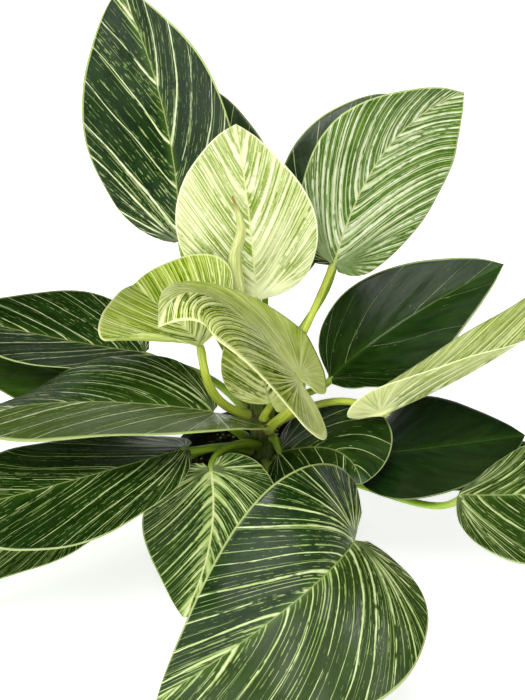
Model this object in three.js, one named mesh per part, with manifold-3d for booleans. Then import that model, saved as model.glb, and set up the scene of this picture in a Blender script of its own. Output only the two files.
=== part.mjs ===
// A potted birkin philodendron: striped heart-shaped leaves on stalks round a short stem, in a plain pot.
// Millimetres, +Z up. The origin is the middle of the pot's flat underside and the front faces -Y.
import * as THREE from 'three';
import { mergeVertices } from 'three/addons/utils/BufferGeometryUtils.js';
import Module from 'manifold-3d';

const wasm = await Module();
wasm.setup();

// Driving dimensions
const GAP = 0.3;
const POT = {
  height: 98, topRadius: 62, footRadius: 45, wall: 3, floor: 4, rimHeight: 16, rimProud: 3, sides: 40,
};
const DRAIN = { count: 4, radius: 5, ring: 27, sides: 12 };
const SOIL = { top: 91, crown: 3, sides: 32 };
const STEM = { radius: 8.5, bottom: 46, top: 152, ring: 18, groove: 0.3, sides: 16 };
const BLADE = { edge: 0.8, rib: 2.2, ribTip: 0.5, rows: 11, across: [0, 0.1, 0.42, 0.74, 1] };
const STALK = { foot: 3.9, neck: 3.0, top: 2.3, sides: 8, steps: 9 };
const ROLLED = {
  path: [[0, 0, 153], [-8, 9, 184], [-15, 14, 218], [-18, 14, 245], [-14, 9, 267], [-19, 2, 293]],
  radii: [3.2, 4.4, 4.8, 5.2, 3.8, 0.7],
  sides: 9, steps: 14, step: 0.3, turns: 1.2,
};
const SHEATH = { rows: 5, columns: 7, thick: 0.8, clear: 0.2 };
const SHEATHS = [
  { name: 'sheath_dry', turn: 244, height: 122, length: 20, spread: 30, lean: 45, color: 0x9a7048 },
  { name: 'sheath_pink', turn: 244, height: 95, length: 18, spread: 20, lean: 60, color: 0xc98a72 },
];

// One half of a blade's edge, as shares of its length and of its half width, from behind the stalk round to
// the tip: for a blade with a round base, and for a deeply heart-shaped one
const ROUND_EDGE = [
  [0, 0.07], [0.025, 0.3], [0.08, 0.56], [0.18, 0.8], [0.35, 0.97], [0.53, 0.97],
  [0.7, 0.81], [0.84, 0.54], [0.94, 0.27], [1, 0],
];
const HEART_EDGE = [
  [-0.16, 0.14], [-0.24, 0.38], [-0.19, 0.7], [-0.02, 0.93], [0.19, 1], [0.42, 0.9],
  [0.63, 0.68], [0.81, 0.4], [0.93, 0.16], [1, 0],
];
const VEIN_ROOT_POWER = 2.2;
const VEIN_SWEEP_POWER = 1.4;

// The leaves. base, middle and tip are points of the midrib, and face is the way that the upper side looks.
// width is across both halves, or a pair with twice the width of each one, and heart runs from 0 for a round
// base to 1 for a heart. Pairs are for the left and the right half, seen from above with the tip ahead. fold
// and curl are in degrees: the lift at the midrib, which foldTip changes towards the tip, and the further lift
// up to the edge. foot is where the stalk leaves the stem: its turn round it, its height and its rise. bow is
// how long the stalk keeps those directions at its two ends, and join is how steeply it meets the blade.
// stout is how thick the stalk is against the others, and pale marks the leaves with cream ground.
const LEAVES = [
  {
    name: 'leaf_tall_left', base: [-56, 58, 234], middle: [-67, 99, 312], tip: [-96, 127, 390],
    face: [-0.23, -0.83, 0.5], width: [123, 126], heart: [0.03, 0.23], fold: [-12, 25], curl: [-4, 6],
    foldTip: [6, 41], foot: [140, 142, 60],
  },
  {
    name: 'leaf_centre_pale', base: [-4, 23, 208], middle: [-9, 33, 267], tip: [-17, 30, 331],
    face: [-0.15, -0.93, 0.33], width: [101, 99], heart: [0.01, 0], fold: [2, 12], curl: [3, 8],
    foldTip: [-6, 17], pale: 1, foot: [95, 146, 75],
  },
  {
    name: 'leaf_tall_right', base: [48, 34, 229], middle: [82, 65, 298], tip: [131, 59, 341],
    face: [0.16, -0.95, 0.26], width: 110, heart: [0, 0.19], fold: [15, -14], curl: [0, 0],
    foldTip: [48, -12], pale: 1, foot: [42, 142, 60],
  },
  {
    name: 'leaf_rear_right', base: [49, 60, 217], middle: [60, 90, 268], tip: [92, 115, 318],
    face: [-0.1, -0.85, 0.5], width: 92, heart: 0.1, fold: [0, 8], curl: [0, 0],
    bow: [0.5, 0.3], foot: [65, 128, 75],
  },
  {
    name: 'leaf_rear_centre', base: [-19, 55, 220], middle: [-26, 90, 265], tip: [-34, 120, 320],
    face: [0, -0.8, 0.6], width: 76, heart: 0.2, fold: [8, 8], curl: [0, 0],
    foot: [110, 132, 60],
  },
  {
    name: 'leaf_young_left', base: [-41, -18, 195], middle: [-53, 6, 197], tip: [-89, 53, 203],
    face: [-0.3, -0.49, 0.82], width: [137, 108], heart: [0.11, 0], fold: [40, 24], curl: [0, 0],
    bow: [0.55, 0.3], foldTip: [56, 35], pale: 1, stout: 1.2, foot: [207, 134, 28],
  },
  {
    name: 'leaf_young_arched', base: [23, -54, 192], middle: [-34, -63, 257], tip: [-63, -82, 245],
    face: [-0.37, -0.06, 0.93], width: [120, 107], heart: 0.95, fold: [9, 2], curl: [0, -2],
    foldTip: [-37, -24], pale: 1, stout: 1.2, foot: [292, 126, 52],
  },
  {
    name: 'leaf_young_inner', base: [5, -16, 150], middle: [-4, -9, 176], tip: [-20, -6, 206],
    face: [-0.1, -0.9, 0.3], width: [50, 58], heart: [0, 0.6], fold: [8, 8], curl: [0, 0],
    pale: 1, foot: [275, 136, 80],
  },
  {
    name: 'leaf_left_upper', base: [-85, 76, 136], middle: [-149, 78, 147], tip: [-228, 85, 164],
    face: [0, -0.16, 0.99], width: [106, 99], heart: [0, 0.13], fold: [24, 14], curl: [0, 0],
    foldTip: [8, 0], foot: [160, 132, 45],
  },
  {
    name: 'leaf_left_rear', base: [-108, 45, 119], middle: [-164, 70, 129], tip: [-233, 80, 136],
    face: [0, -0.2, 0.98], width: 90, heart: 0.4, fold: [8, 8], curl: [0, 0],
    foot: [150, 106, 35],
  },
  {
    name: 'leaf_left_middle', base: [-33, -11, 140], middle: [-130, -34, 162], tip: [-220, -41, 149],
    face: [0.01, -0.08, 1], width: [127, 123], heart: [0.71, 0.1], fold: [23, 28], foldTip: [0, -44], curl: [0, -20],
    foot: [184, 113, 45],
  },
  {
    name: 'leaf_left_lower', base: [-50, -39, 130], middle: [-140, -80, 126], tip: [-201, -98, 120],
    face: [-0.16, -0.16, 0.97], width: [108, 109], heart: [0.02, 0.22], fold: [0, -17], curl: [0, 0],
    foldTip: [-12, 6], foot: [222, 107, 40],
  },
  {
    name: 'leaf_left_lowest', base: [-124, -50, 80], middle: [-172, -60, 67], tip: [-232, -70, 30],
    face: [0, -0.3, 0.95], width: [64, 90], heart: 0.5, fold: [4, 4], curl: [0, 0],
    bow: [0.5, 0.4], foot: [200, 99, 44],
  },
  {
    name: 'leaf_front_left', base: [-34, -50, 120], middle: [-35, -74, 76], tip: [-53, -92, 30],
    face: [-0.01, -0.89, 0.45], width: 94, heart: [0.41, 0.29], fold: [10, 9], curl: [0, 0],
    foldTip: [8, 7], foot: [250, 113, 45],
  },
  {
    name: 'leaf_front_right', base: [11, -18, 112], middle: [48, -44, 131], tip: [64, -72, 123],
    face: [-0.05, -0.22, 0.97], width: [95, 88], heart: [0.36, 0.34], fold: [2, -8], curl: [0, -20],
    foldTip: [6, -8], foot: [308, 118, 45],
  },
  {
    name: 'leaf_right_glossy', base: [47, 20, 148], middle: [92, 55, 169], tip: [167, 65, 213],
    face: [-0.21, -0.62, 0.76], width: [82, 101], heart: [0, 0.24], fold: [42, 16], curl: [0, 0],
    foldTip: [28, 13], foot: [20, 133, 50],
  },
  {
    name: 'leaf_front_large', base: [57, -133, 124], middle: [15, -176, 106], tip: [-65, -186, 42],
    face: [0.13, -0.79, 0.6], width: [157, 128], heart: [0.22, 0.76], fold: [13, 35], curl: [0, -35],
    bow: [0.5, 0.35], join: 1, foldTip: [0, 1], foot: [284, 98, 10],
  },
  {
    name: 'leaf_right_pale', base: [78, -32, 152], middle: [167, -25, 204], tip: [202, -32, 260],
    face: [-0.63, 0.19, 0.76], width: [95, 72], heart: [0.38, 0.54], fold: [10, 52], foldTip: [15, -15], curl: [0, 0],
    bow: [0.75, 0.12], pale: 1, foot: [12, 124, 27],
  },
  {
    name: 'leaf_right_dark', base: [66, -24, 114], middle: [110, -32, 125], tip: [175, -29, 133],
    face: [0.04, -0.17, 0.98], width: [115, 101], heart: [0.21, 0], fold: [-7, 4], curl: [0, 0],
    foldTip: [-1, 2], foot: [349, 106, 25],
  },
  {
    name: 'leaf_right_lower', base: [125, -86, 125], middle: [172, -98, 134], tip: [205, -89, 133],
    face: [0.16, -0.27, 0.95], width: [80, 107], heart: 0, fold: [-14, 3], curl: [0, 0],
    bow: [0.5, 0.25], join: 1.2, foldTip: [22, -12], foot: [328, 98, 8],
  },
  {
    name: 'leaf_right_rear', base: [112, -10, 94], middle: [165, -8, 94], tip: [230, -10, 90],
    face: [0, -0.1, 0.98], width: [74, 50], heart: 0.3, fold: [0, -5], curl: [0, 0],
    bow: [0.45, 0.4], foot: [18, 100, 38],
  },
  {
    name: 'leaf_back_left', base: [-42, 95, 240], middle: [-58, 142, 272], tip: [-85, 180, 290],
    face: [0, -0.6, 0.8], width: 84, heart: 0.4, fold: [8, 8], curl: [0, 0],
    foot: [125, 118, 60],
  },
  {
    name: 'leaf_back_low', base: [2, 85, 200], middle: [0, 140, 222], tip: [-8, 195, 205],
    face: [0, -0.2, 0.98], width: 92, heart: 0.5, fold: [8, 8], curl: [0, 0],
    foot: [88, 112, 55],
  },
];

const vector = (point) => new THREE.Vector3(...point);

// A closed triangle mesh as a solid that can be joined and cut
function solidFrom(points, triangles) {
  return new wasm.Manifold(new wasm.Mesh({
    numProp: 3,
    vertProperties: new Float32Array(points.flatMap((point) => point.toArray())),
    triVerts: new Uint32Array(triangles),
  }));
}

// The same from a three.js shape, whose seams and corners are merged first
function solidOf(geometry) {
  const bare = geometry.clone();
  bare.deleteAttribute('normal');
  bare.deleteAttribute('uv');
  const merged = mergeVertices(bare, 1e-4);
  const position = merged.attributes.position;
  const pointAt = (_, k) => new THREE.Vector3().fromBufferAttribute(position, k);
  const triangles = [];
  for (let k = 0; k < merged.index.count; k += 3) {
    const corners = [0, 1, 2].map((corner) => merged.index.getX(k + corner));
    if (new Set(corners).size === 3) {
      triangles.push(...corners);
    }
  }
  return solidFrom(Array.from({ length: position.count }, pointAt), triangles);
}

// A solid turned about the upright axis from [radius, height] pairs, which start and end on the axis
function turned(profile, sides) {
  const outline = profile.map(([radius, level]) => new THREE.Vector2(radius, level));
  return solidOf(new THREE.LatheGeometry(outline, sides).rotateX(Math.PI / 2));
}

function upright(radius, length, sides) {
  return solidOf(new THREE.CylinderGeometry(radius, radius, length, sides).rotateX(Math.PI / 2));
}

function geometryOf(solid) {
  const { vertProperties, triVerts } = solid.getMesh();
  const geometry = new THREE.BufferGeometry();
  geometry.setAttribute('position', new THREE.BufferAttribute(vertProperties, 3));
  geometry.setIndex(new THREE.BufferAttribute(triVerts, 1));
  return geometry;
}

// Rows of [upper, lower] point pairs, closed into a thin solid. The rows run away from the viewer who sees the
// upper side with the pairs from left to right. The last row may be a single pair, for a pointed end.
function sheetSolid(rows) {
  const triangles = [];
  const starts = rows.map((row, k) => 2 * rows.slice(0, k).reduce((sum, before) => sum + before.length, 0));
  // The upper points have even numbers, and the lower one of a pair follows it
  const face = (a, b, c) => triangles.push(a, b, c, a + 1, c + 1, b + 1);
  const rim = (a, b) => triangles.push(a, b + 1, b, a, a + 1, b + 1);
  for (let row = 0; row < rows.length - 1; row += 1) {
    const [near, far] = [starts[row], starts[row + 1]];
    const last = 2 * (rows[row].length - 1);
    const pointed = rows[row + 1].length === 1;
    for (let step = 0; step < last; step += 2) {
      if (pointed) {
        face(near + step, near + step + 2, far);
      } else {
        face(near + step, near + step + 2, far + step + 2);
        face(near + step, far + step + 2, far + step);
      }
    }
    rim(far, near);
    rim(near + last, pointed ? far : far + last);
  }
  for (let step = 0; step < 2 * (rows[0].length - 1); step += 2) {
    rim(step, step + 2);
  }
  const end = starts[rows.length - 1];
  for (let step = 0; step < 2 * (rows[rows.length - 1].length - 1); step += 2) {
    rim(end + step + 2, end + step);
  }
  return solidFrom(rows.flat(2), triangles);
}

// A closed tube along a path. ring gives a cross-section's points as [angle, radius] for a share of the path.
function tubeSolid(path, steps, ring) {
  const frames = path.computeFrenetFrames(steps, false);
  const points = [];
  for (let step = 0; step <= steps; step += 1) {
    const centre = path.getPointAt(step / steps);
    for (const [angle, radius] of ring(step / steps)) {
      points.push(centre.clone()
        .addScaledVector(frames.normals[step], radius * Math.cos(angle))
        .addScaledVector(frames.binormals[step], radius * Math.sin(angle)));
    }
  }
  const sides = points.length / (steps + 1);
  const triangles = [];
  for (let step = 0; step < steps; step += 1) {
    for (let side = 0; side < sides; side += 1) {
      const [a, b] = [step * sides + side, step * sides + ((side + 1) % sides)];
      triangles.push(a, b, b + sides, a, b + sides, a + sides);
    }
  }
  const end = steps * sides;
  for (let side = 1; side < sides - 1; side += 1) {
    triangles.push(0, side + 1, side);
    triangles.push(end, end + side, end + side + 1);
  }
  return solidFrom(points, triangles);
}

function circle(sides, radius) {
  return Array.from({ length: sides }, (_, k) => [(2 * Math.PI * k) / sides, radius]);
}

// A value given for both halves, or as a pair for the left and the right one
function forSide(value, side) {
  return Array.isArray(value) ? value[side < 0 ? 0 : 1] : value;
}

// The edge of a blade's half, between the round and the heart-shaped one
function edgeOf(heart) {
  return new THREE.SplineCurve(ROUND_EDGE.map(([along, out], k) => new THREE.Vector2(
    THREE.MathUtils.lerp(along, HEART_EDGE[k][0], heart),
    THREE.MathUtils.lerp(out, HEART_EDGE[k][1], heart),
  )));
}

// The midrib's curve, with the blade's own directions at each point
class Midrib {
  constructor(leaf) {
    const [base, middle, tip] = [leaf.base, leaf.middle, leaf.tip].map(vector);
    const control = middle.clone().multiplyScalar(2).addScaledVector(base, -0.5).addScaledVector(tip, -0.5);
    this.curve = new THREE.QuadraticBezierCurve3(base, control, tip);
    this.length = this.curve.getLength();
    this.face = vector(leaf.face).normalize();
  }

  // share is along the length: below 0 it runs straight on behind the stalk, where the lobes are
  frame(share) {
    const held = Math.max(share, 0);
    const ahead = this.curve.getTangent(held);
    const place = this.curve.getPoint(held).addScaledVector(ahead, (share - held) * this.length);
    const up = this.face.clone().addScaledVector(ahead, -this.face.dot(ahead)).normalize();
    return { place, ahead, up, right: new THREE.Vector3().crossVectors(ahead, up) };
  }
}

// A point of the blade's middle surface and the direction square to it. vein runs from 0 at the notch to 1 at
// the tip, and out from 0 at the midrib to 1 at the edge. side is -1 on the left and 1 on the right.
function bladePoint(leaf, midrib, vein, out, side) {
  const edge = edgeOf(forSide(leaf.heart, side)).getPoint(vein);
  const root = vein ** VEIN_ROOT_POWER;
  const along = root + (edge.x - root) * out ** VEIN_SWEEP_POWER;
  const reach = Math.max(edge.y, 0) * out;
  const half = forSide(leaf.width, side) / 2;
  const { place, up, right } = midrib.frame(along);
  const [foldBase, foldTip] = [leaf.fold, leaf.foldTip ?? leaf.fold].map((pair) => forSide(pair, side));
  const fold = THREE.MathUtils.degToRad(THREE.MathUtils.lerp(foldBase, foldTip, Math.max(along, 0)));
  const curl = THREE.MathUtils.degToRad(forSide(leaf.curl, side));
  const angle = fold + curl * reach;
  const straight = Math.abs(curl) < 0.01;
  const across = straight ? reach * Math.cos(fold) : (Math.sin(angle) - Math.sin(fold)) / curl;
  const lift = straight ? reach * Math.sin(fold) : (Math.cos(fold) - Math.cos(angle)) / curl;
  const point = place.addScaledVector(right, side * half * across).addScaledVector(up, half * lift);
  const normal = up.clone().multiplyScalar(Math.cos(angle)).addScaledVector(right, -side * Math.sin(angle));
  return { point, normal };
}

// The blade, with the midrib standing out below
function bladeSolid(leaf, midrib) {
  const { rows, across, edge, rib, ribTip } = BLADE;
  const pair = (vein, side, out) => {
    const { point, normal } = bladePoint(leaf, midrib, vein, out, side);
    const thick = out === 0 ? edge + rib + (ribTip - rib) * vein : edge;
    return [point.clone().addScaledVector(normal, edge / 2),
      point.clone().addScaledVector(normal, edge / 2 - thick)];
  };
  const columns = [...across.map((out) => [-1, out]).reverse(), ...across.slice(1).map((out) => [1, out])];
  const grid = Array.from({ length: rows }, (_, k) => columns.map(([side, out]) => pair(k / rows, side, out)));
  return sheetSolid([...grid, [pair(1, 1, 0)]]);
}

// The stalk, from its foot on the stem to the blade's underside
function stalkSolid(leaf, midrib) {
  const [turn, height, rise] = leaf.foot;
  const [around, lean] = [turn, rise].map(THREE.MathUtils.degToRad);
  const outward = new THREE.Vector3(Math.cos(around), Math.sin(around), 0);
  const { foot, neck, top, sides, steps } = STALK;
  const start = outward.clone().multiplyScalar(STEM.radius + GAP + 0.95 * foot * Math.sin(lean)).setZ(height);
  const leaving = outward.clone().multiplyScalar(Math.cos(lean)).setZ(Math.sin(lean));
  const { place, ahead, up } = midrib.frame(0.02);
  const arriving = ahead.clone().addScaledVector(up, leaf.join ?? 0.3).normalize();
  const end = place.clone().addScaledVector(up, -1.2);
  const reach = start.distanceTo(end);
  const [leave, arrive] = leaf.bow ?? [0.38, 0.38];
  const path = new THREE.CubicBezierCurve3(
    start,
    start.clone().addScaledVector(leaving, leave * reach),
    end.clone().addScaledVector(arriving, -arrive * reach),
    end,
  );
  const radiusAt = (share) => (share === 0 ? foot : (neck + (top - neck) * share) * (leaf.stout ?? 1));
  return tubeSolid(path, steps, (share) => circle(sides, radiusAt(share)));
}

function leafSolid(leaf) {
  const midrib = new Midrib(leaf);
  return bladeSolid(leaf, midrib).add(stalkSolid(leaf, midrib));
}

// The newest leaf, still rolled up: its section is a spiral with a step, which turns along the length
function rolledSolid() {
  const { path, radii, sides, steps, step, turns } = ROLLED;
  const curve = new THREE.CatmullRomCurve3(path.map(vector));
  const thickness = new THREE.SplineCurve(radii.map((radius, k) => new THREE.Vector2(k, radius)));
  return tubeSolid(curve, steps, (share) => {
    const radius = thickness.getPoint(share).y;
    return Array.from({ length: sides }, (_, k) => {
      const part = k / (sides - 1);
      return [2 * Math.PI * (part * 0.97 + turns * share), radius * (1 - step * part)];
    });
  });
}

// A papery sheath that stands round one side of the stem and leans away from it
function sheathSolid({ turn, height, length, spread, lean }) {
  const { rows, columns, thick, clear } = SHEATH;
  const around = THREE.MathUtils.degToRad(turn);
  const tilt = THREE.MathUtils.degToRad(lean);
  const row = (share) => Array.from({ length: columns }, (_, k) => {
    const part = (2 * k) / (columns - 1) - 1;
    const angle = around + THREE.MathUtils.degToRad(spread) * part * (1 - 0.75 * share ** 2);
    const out = STEM.radius + GAP + clear + length * share * Math.sin(tilt * (0.4 + 0.6 * share));
    const level = height + length * share * Math.cos(tilt * (0.4 + 0.6 * share)) - 2 * share * part ** 2;
    return [out + thick, out].map((radius) => (
      new THREE.Vector3(radius * Math.cos(angle), radius * Math.sin(angle), level)));
  });
  return sheetSolid(Array.from({ length: rows }, (_, k) => row(k / (rows - 1))));
}

function potSolid() {
  const { height, topRadius, footRadius, wall, floor, rimHeight, rimProud, sides } = POT;
  const under = height - rimHeight;
  const body = turned([
    [0, 0], [footRadius - 1.5, 0], [footRadius, 1.5], [topRadius - rimProud, under], [topRadius, under + 1],
    [topRadius + 0.5, height - 1], [topRadius - 0.5, height], [topRadius - rimProud - wall + 1, height],
    [topRadius - rimProud - wall, height - 1.5], [footRadius - wall, floor], [0, floor],
  ], sides);
  const holes = Array.from({ length: DRAIN.count }, (_, k) => {
    const angle = (2 * Math.PI * (k + 0.5)) / DRAIN.count;
    return upright(DRAIN.radius, floor + 2, DRAIN.sides)
      .translate([DRAIN.ring * Math.cos(angle), DRAIN.ring * Math.sin(angle), floor / 2]);
  });
  return holes.reduce((solid, hole) => solid.subtract(hole), body);
}

// The soil fills the pot up to below its rim, is highest round the stem and has a plain hole for it
function soilSolid() {
  const { topRadius, footRadius, wall, floor, height, rimProud } = POT;
  const insideAt = (level) => THREE.MathUtils.mapLinear(
    level, floor, height - 1.5, footRadius - wall, topRadius - rimProud - wall) - GAP;
  const bottom = floor + GAP;
  const { top, crown, sides } = SOIL;
  const edge = insideAt(top);
  const body = turned([
    [0, bottom], [insideAt(bottom), bottom], [edge, top], [0.7 * edge, top + 0.45 * crown],
    [0.4 * edge, top + 0.85 * crown], [0, top + crown],
  ], sides);
  const hole = upright(STEM.radius + GAP, top + crown, sides);
  return body.subtract(hole.translate([0, 0, STEM.bottom - GAP + (top + crown) / 2]));
}

// The stem, ringed where earlier leaves stood
function stemSolid() {
  const { radius, bottom, top, ring, groove, sides } = STEM;
  const profile = [[0, bottom], [radius - 2, bottom], [radius - groove, bottom + 4]];
  for (let level = bottom + ring; level < top - 4; level += ring) {
    profile.push([radius - groove, level - 1.6], [radius, level - 0.8], [radius, level + 0.2]);
  }
  profile.push([radius - groove, top - 6], [radius - 3, top - 1], [radius - 4.5, top], [0, top]);
  return turned(profile, sides);
}

const plant = new THREE.Group();
function addPiece(name, solid, color, roughness) {
  const material = new THREE.MeshStandardMaterial({ color, roughness, metalness: 0 });
  const mesh = new THREE.Mesh(geometryOf(solid), material);
  mesh.name = name;
  plant.add(mesh);
}
addPiece('pot', potSolid(), 0x8f6b55, 0.7);
addPiece('soil', soilSolid(), 0x3b2a20, 1);
addPiece('stem', stemSolid(), 0x6f8a45, 0.6);
for (const leaf of LEAVES) {
  addPiece(leaf.name, leafSolid(leaf), leaf.pale ? 0xb9c98a : 0x3f6a34, 0.4);
}
addPiece('leaf_new_rolled', rolledSolid(), 0xb7c25c, 0.5);
for (const sheath of SHEATHS) {
  addPiece(sheath.name, sheathSolid(sheath), sheath.color, 0.8);
}

export default plant;
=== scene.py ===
# A potted birkin philodendron: striped leaves on stalks round a short stem, in a plain pot.
# Lengths in the tables are millimetres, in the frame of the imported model, and objects are in metres.
import math
from functools import cache

import bpy
import numpy as np
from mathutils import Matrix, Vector


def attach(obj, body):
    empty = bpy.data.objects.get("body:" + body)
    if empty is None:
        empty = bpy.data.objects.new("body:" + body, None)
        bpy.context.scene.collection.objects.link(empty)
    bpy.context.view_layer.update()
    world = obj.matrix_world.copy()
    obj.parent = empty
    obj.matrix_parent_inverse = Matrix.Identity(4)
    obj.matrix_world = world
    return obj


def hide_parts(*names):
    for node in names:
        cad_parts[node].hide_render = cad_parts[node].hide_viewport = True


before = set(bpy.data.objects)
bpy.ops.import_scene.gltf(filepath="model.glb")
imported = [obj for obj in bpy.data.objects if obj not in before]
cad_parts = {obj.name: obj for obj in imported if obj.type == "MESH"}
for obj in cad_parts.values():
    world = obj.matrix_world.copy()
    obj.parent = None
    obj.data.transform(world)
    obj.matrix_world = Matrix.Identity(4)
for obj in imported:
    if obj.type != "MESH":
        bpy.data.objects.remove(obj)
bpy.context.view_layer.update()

MM = 0.001
# The clearance between two pieces, one inside the other
GAP = 0.3

# Sizes, as in the solids
POT = dict(height=98, top=62, foot=45, wall=3, floor=4, rim=16, proud=3)
DRAIN = dict(count=4, radius=5, ring=27)
SOIL = dict(top=91, crown=3)
STEM = dict(radius=8.5, bottom=46, top=152, ring=18)
BLADE = dict(edge=0.8, rib=2.2, rib_tip=0.5)
STALK = dict(foot=3.9, neck=3.0, top=2.3)
ROLLED = dict(
    path=[(0, 0, 153), (-8, 9, 184), (-15, 14, 218), (-18, 14, 245), (-14, 9, 267), (-19, 2, 293)],
    radii=[3.2, 4.4, 4.8, 5.2, 3.8, 0.7],
    step=0.3,
    turns=1.2,
)
SHEATHS = [
    dict(name="sheath_dry", turn=244, height=122, length=20, spread=30, lean=45,
         colors=((0.20, 0.095, 0.03, 1), (0.46, 0.28, 0.11, 1))),
    dict(name="sheath_pink", turn=244, height=95, length=18, spread=20, lean=60,
         colors=((0.42, 0.13, 0.07, 1), (0.62, 0.36, 0.22, 1))),
]
# One half of a blade's edge, as shares of its length and of its half width, from behind the stalk round
# to the tip: for a blade with a round base, and for a deeply heart-shaped one
ROUND_EDGE = np.array([
    (0, 0.07), (0.025, 0.3), (0.08, 0.56), (0.18, 0.8), (0.35, 0.97), (0.53, 0.97),
    (0.7, 0.81), (0.84, 0.54), (0.94, 0.27), (1, 0),
])
HEART_EDGE = np.array([
    (-0.16, 0.14), (-0.24, 0.38), (-0.19, 0.7), (-0.02, 0.93), (0.19, 1), (0.42, 0.9),
    (0.63, 0.68), (0.81, 0.4), (0.93, 0.16), (1, 0),
])

# Where the blade's rows leave the midrib and how they sweep, and from which share on side veins leave it
ROW_ROOT_POWER = 2.2
ROW_SWEEP_POWER = 1.4
VEIN_START = 0.52
VEIN_ROOT_POWER = 1.5
VEIN_SWEEP_POWER = 1.25
# A blade's relief: its furrows in a half and their depth, the depth of the channel over the midrib and
# its width, how far the blade sways, and how far its edge waves
RELIEF = dict(furrows=11, furrow=0.32, channel=0.4, channel_width=1.4, sway=1.0, wave=0.8)

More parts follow.
